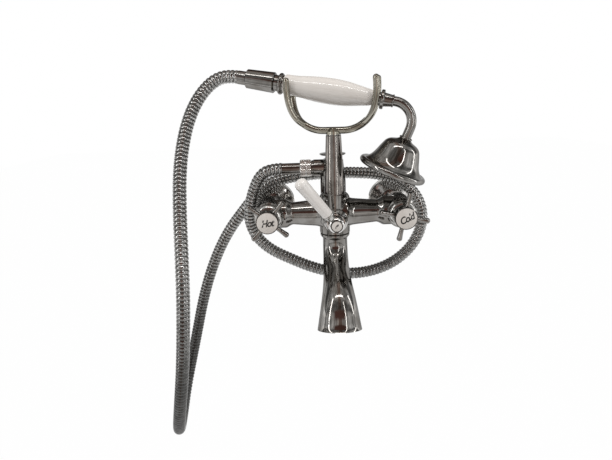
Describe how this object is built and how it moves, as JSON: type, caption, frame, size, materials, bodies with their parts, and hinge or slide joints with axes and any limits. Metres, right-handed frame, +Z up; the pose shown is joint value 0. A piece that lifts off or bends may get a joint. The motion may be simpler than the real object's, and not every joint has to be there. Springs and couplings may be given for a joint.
{
  "type": "wall-mounted bath mixer with handset",
  "caption": "Wall-mounted bath mixer with cross handles, a diverter lever, a swivel spout, and a telephone-style handset with a ceramic grip resting in a forked cradle on a ribbed hose.",
  "frame": {"origin": "midway between the two wall inlets, at their height, on the finished wall plane", "axes": "+Z up, +Y into the wall, +X towards the cold inlet on the user's right"},
  "size_m": [0.3337, 0.1722, 0.4421],
  "materials": {
    "chrome_plate": "polished",
    "satin_chrome": "satin",
    "hose_steel": "polished",
    "steel": "satin",
    "brass": "satin",
    "ceramic": "gloss",
    "rubber": "matte",
    "fibre": "matte",
    "nylon": "matte"
  },
  "bodies": {
    "root": {"body_casting": "chrome_plate", "wall_union_hot": "chrome_plate", "wall_union_cold": "chrome_plate", "rosette_hot": "chrome_plate", "rosette_cold": "chrome_plate", "union_nuts": "chrome_plate", "union_washers": "fibre", "cartridge_hot": "brass", "cartridge_cold": "brass", "bonnet_hot": "chrome_plate", "bonnet_cold": "chrome_plate", "diverter_cartridge": "brass", "diverter_bonnet": "chrome_plate", "riser_cap": "chrome_plate", "outlet_nipple": "chrome_plate", "spout_grub_screw": "steel", "column": "chrome_plate", "column_stud": "steel", "cradle_washer": "chrome_plate", "cradle_stud": "steel", "cradle": "chrome_plate", "hose": "hose_steel", "hose_nut_outlet": "satin_chrome", "hose_ferrule_outlet": "chrome_plate", "hose_washer_outlet": "rubber"},
    "hot_handle": {"spindle_hot": "brass", "handle_hot": "chrome_plate", "handle_screw_hot": "steel", "index_rim_hot": "chrome_plate", "index_disc_hot": "ceramic"},
    "cold_handle": {"spindle_cold": "brass", "handle_cold": "chrome_plate", "handle_screw_cold": "steel", "index_rim_cold": "chrome_plate", "index_disc_cold": "ceramic"},
    "diverter_lever": {"diverter_spindle": "brass", "diverter_hub": "chrome_plate", "lever_stud": "chrome_plate", "lever": "ceramic", "diverter_index_rim": "chrome_plate", "diverter_index_disc": "ceramic"},
    "swivel_spout": {"spout": "chrome_plate", "spout_collar": "chrome_plate", "spout_oring": "rubber", "flow_insert": "nylon", "flow_screen": "steel"},
    "handset": {"handset_tail": "chrome_plate", "bead_collar": "chrome_plate", "grip": "ceramic", "grip_tube": "brass", "grip_flange": "chrome_plate", "socket_nut": "chrome_plate", "neck_tube": "chrome_plate", "rose_shell": "chrome_plate", "rose_gasket": "rubber", "spray_plate": "chrome_plate", "hose_nut_handset": "chrome_plate", "hose_ferrule_handset": "chrome_plate", "hose_washer_handset": "rubber"}
  },
  "joints": [
    {"name": "hot_valve_turn", "type": "hinge", "parent": "root", "child": "hot_handle", "pos_m": [-0.075, -0.097, 0], "axis": [0, -1, 0], "range_deg": [0, 90]},
    {"name": "cold_valve_turn", "type": "hinge", "parent": "root", "child": "cold_handle", "pos_m": [0.075, -0.097, 0], "axis": [0, 1, 0], "range_deg": [0, 90]},
    {"name": "diverter_turn", "type": "hinge", "parent": "root", "child": "diverter_lever", "pos_m": [0, -0.1025, -0.0055], "axis": [0, 1, 0], "range_deg": [0, 90]},
    {"name": "spout_swivel", "type": "hinge", "parent": "root", "child": "swivel_spout", "pos_m": [0, -0.066, -0.03], "axis": [0, 0, 1], "range_deg": [-45, 45]},
    {"name": "handset_lift", "type": "slide", "parent": "root", "child": "handset", "axis": [0.4134, -0.0879, 0.9063], "range_m": [0, 0.06], "deforming": ["hose"]}
  ]
}
